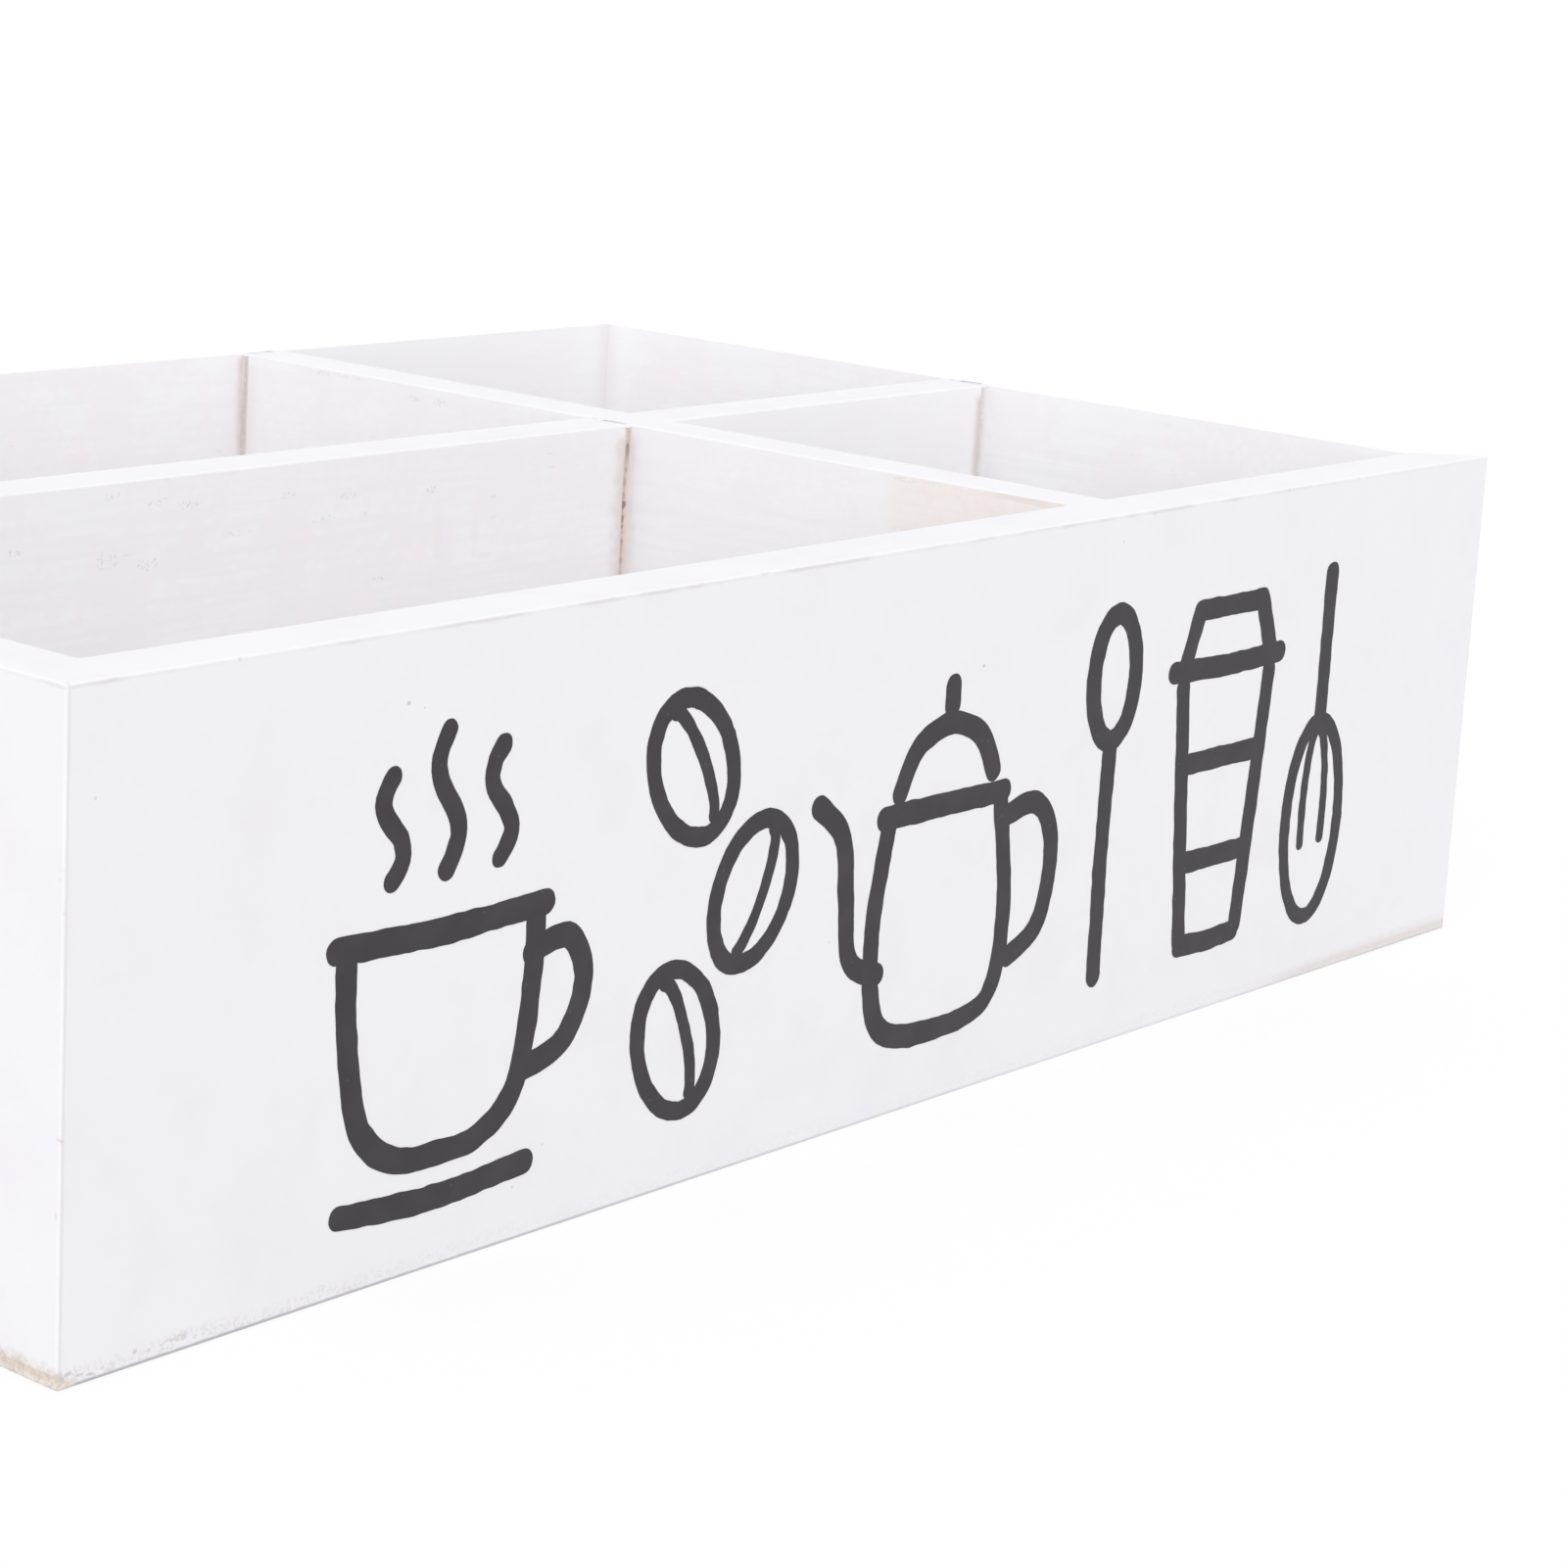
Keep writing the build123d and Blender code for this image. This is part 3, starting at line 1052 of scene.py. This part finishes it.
def bean_motif():
    """Three coffee beans, each an outline with a bent crease."""
    strokes = []
    for x, z, lean in ((9, 47, 28), (22, 28.5, -24), (8, 11, 18)):
        strokes.append((arc(x, z, 7.2, 10, 0, 360, lean, 44), thin_stroke_width))
        crease = [(x + dx, z + dz) for dx, dz in arc(0, 0, 2.0, 8.6, 90, -90, lean, 18)]
        strokes.append((crease, crease_width))
    return strokes


def pot_motif():
    """A pot with a bent spout, an open handle and a lid."""
    body = smoothed([(12, 33), (9.6, 18), (11, 6), (17, 2), (32, 2), (38, 6), (39.4, 18), (37, 33)])
    rim_line = [(11, 34), (38, 34)]
    lid = smoothed([(14, 37), (17.5, 43), (24.5, 45.5), (31.5, 43), (35, 37)])
    knob = [(24.5, 48), (24.5, 51)]
    spout = smoothed([(11, 12), (5, 15), (3.5, 24), (2, 33), (-3.5, 38)])
    handle = smoothed([(38, 30), (46, 31), (50, 24), (48, 13), (41, 9)])
    return [(stroke, stroke_width) for stroke in (body, rim_line, lid, knob, spout, handle)]


def spoon_motif():
    """A spoon that stands on its handle."""
    bowl = arc(6, 47, 5.2, 9.5, 0, 360, 0, 40)
    stem = [(6, 37), (5.6, 20), (6, 1.5)]
    return [(bowl, stroke_width), (stem, stroke_width)]


def cup_motif():
    """A tall cup with a lid and a sleeve."""
    sides = [[(4, 43), (6, 22), (8, 2.6)], [(27, 43), (25, 22), (23, 2.6)]]
    foot = [(8, 2.4), (15.5, 2.0), (23, 2.4)]
    brim = [(1.5, 45.6), (15.5, 45.2), (29.5, 45.6)]
    lid = [brim, [(4, 46), (7, 54)], [(7, 54.4), (24, 54.4)], [(24, 54), (27, 46)]]
    sleeve = [[(5.6, 31), (25.4, 31)], [(7.2, 15.5), (23.8, 15.5)]]
    return [(stroke, stroke_width) for stroke in (*sides, foot, *lid, *sleeve)]


def whisk_motif():
    """A whisk with two nested loops."""
    outer = arc(8, 17, 7.6, 16, 0, 360, 0, 48)
    inner = arc(8, 18, 3.0, 14, 200, -20, 0, 30)
    stem = [(8, 34), (8, 57)]
    return [(outer, thin_stroke_width), (inner, inner_loop_width), (stem, stroke_width)]


def print_motif(name, strokes, left, seed):
    """One motif as a thin film of print on the front, with its strokes joined where they cross."""
    corners, outlines = [], []
    for number, (points, width) in enumerate(strokes):
        for outline in brush_quads(points, width, seed + number * 5.1):
            area = sum(a.cross(b) for a, b in zip(outline, outline[1:] + outline[:1]))
            ordered = outline if area > 0 else outline[::-1]
            outlines.append(list(range(len(corners), len(corners) + len(ordered))))
            corners.extend(ordered)
    points, _, faces, _, _, strokes_under = geometry.delaunay_2d_cdt(corners, [], outlines, 0, 1e-4)
    triangles = [face for face, under in zip(faces, strokes_under) if under]
    sides = {}
    for triangle in triangles:
        for start, end in zip(triangle, [*triangle[1:], triangle[0]]):
            sides[(start, end)] = True
    edges = [pair for pair in sides if (pair[1], pair[0]) not in sides]
    count = len(points)
    outer = [(left + p.x, front_side - print_height, design_foot + p.y) for p in points]
    sunk = [(left + p.x, front_side + HAIR, design_foot + p.y) for p in points]
    faces = [list(triangle) for triangle in triangles]
    faces += [[corner + count for corner in reversed(triangle)] for triangle in triangles]
    faces += [[start, start + count, end + count, end] for start, end in edges]
    return add_piece(name, outer + sunk, faces, print_charcoal)


motifs = [
    ("mug_print", mug_motif(), 0.0),
    ("bean_print", bean_motif(), 55.0),
    ("pot_print", pot_motif(), 93.0),
    ("spoon_print", spoon_motif(), 150.0),
    ("cup_print", cup_motif(), 170.0),
    ("whisk_print", whisk_motif(), 205.0),
]
for seed, (name, strokes, offset) in enumerate(motifs):
    print_motif(name, strokes, design_left + offset, 1.3 + seed * 40)


# Floor, light and camera


def light_path(tree):
    """1 for rays from the camera, and for those that metal or glass sends on."""
    camera, glossy, passed = tree.node(
        "ShaderNodeLightPath", out=("Is Camera Ray", "Is Glossy Ray", "Is Transmission Ray")
    )
    return camera.most(glossy).most(passed)


def pale_floor():
    """A wide white floor that keeps the tray's soft shadow. Its reach is in metres."""
    floor_reach = 30.0
    shown_share = 0.86
    lit_grey = (0.72, 0.72, 0.72, 1)
    shown_grey = (0.95, 0.95, 0.95, 1)
    mesh = bpy.data.meshes.new("floor")
    corners = [(-floor_reach, -floor_reach), (floor_reach, -floor_reach),
               (floor_reach, floor_reach), (-floor_reach, floor_reach)]
    mesh.from_pydata([(x, y, -HAIR * MM) for x, y in corners], [], [[0, 1, 2, 3]])
    floor = bpy.data.objects.new("floor", mesh)
    bpy.context.scene.collection.objects.link(floor)
    material, tree = finish("floor_white")
    shown = light_path(tree)
    paper = tree.blend(shown, lit_grey, shown_grey)
    matt = tree.node("ShaderNodeBsdfDiffuse", places={"Color": paper})
    glow = tree.node("ShaderNodeEmission", places={"Color": pure_white, "Strength": 1.0})
    mixed = tree.node("ShaderNodeMixShader", places={0: shown * shown_share, 1: matt, 2: glow})
    tree.node("ShaderNodeOutputMaterial", places={"Surface": mixed}, out=())
    mesh.materials.append(material)


def white_world():
    """Even light from all round, and white behind the tray."""
    world = bpy.data.worlds.new("studio")
    bpy.context.scene.world = world
    tree = Finish(world)
    light = tree.node("ShaderNodeBackground", places={"Color": pure_white, "Strength": 0.95})
    white = tree.node("ShaderNodeBackground", places={"Color": pure_white, "Strength": 1.0})
    mixed = tree.node("ShaderNodeMixShader", places={0: light_path(tree), 1: light, 2: white})
    tree.node("ShaderNodeOutputWorld", places={"Surface": mixed}, out=())


def soft_sun():
    """A broad soft lamp from the left and the front, about a quarter of the way up."""
    lamp = bpy.data.lights.new("softbox", "SUN")
    lamp.energy = 0.87
    lamp.angle = math.radians(50)
    sun = bpy.data.objects.new("softbox", lamp)
    toward = Vector((-0.73, -0.53, 0.43))
    sun.rotation_euler = toward.to_track_quat("Z", "Y").to_euler()
    bpy.context.scene.collection.objects.link(sun)


def photo_camera():
    """The camera of the photograph: place in metres, the rest in degrees and pixels."""
    image_side = 1601
    middle_row = 740.5
    focal_pixels = 3959.4
    place = (-0.40831, -0.41077, 0.17027)
    right_turn = 50.5187
    down_tilt = 12.7299
    roll = 3.2400
    lens = bpy.data.cameras.new("camera")
    lens.sensor_width = 36.0
    lens.lens = focal_pixels / image_side * lens.sensor_width
    lens.shift_y = middle_row / image_side - 0.5
    lens.clip_end = 100.0
    camera = bpy.data.objects.new("camera", lens)
    turn = Matrix.Rotation(math.radians(-right_turn), 4, "Z")
    tilt = Matrix.Rotation(math.radians(90 - down_tilt), 4, "X")
    lean = Matrix.Rotation(math.radians(roll), 4, "Z")
    camera.matrix_world = Matrix.Translation(place) @ turn @ tilt @ lean
    bpy.context.scene.collection.objects.link(camera)
    bpy.context.scene.camera = camera


pale_floor()
white_world()
soft_sun()
photo_camera()
bpy.context.scene.view_settings.view_transform = "Standard"
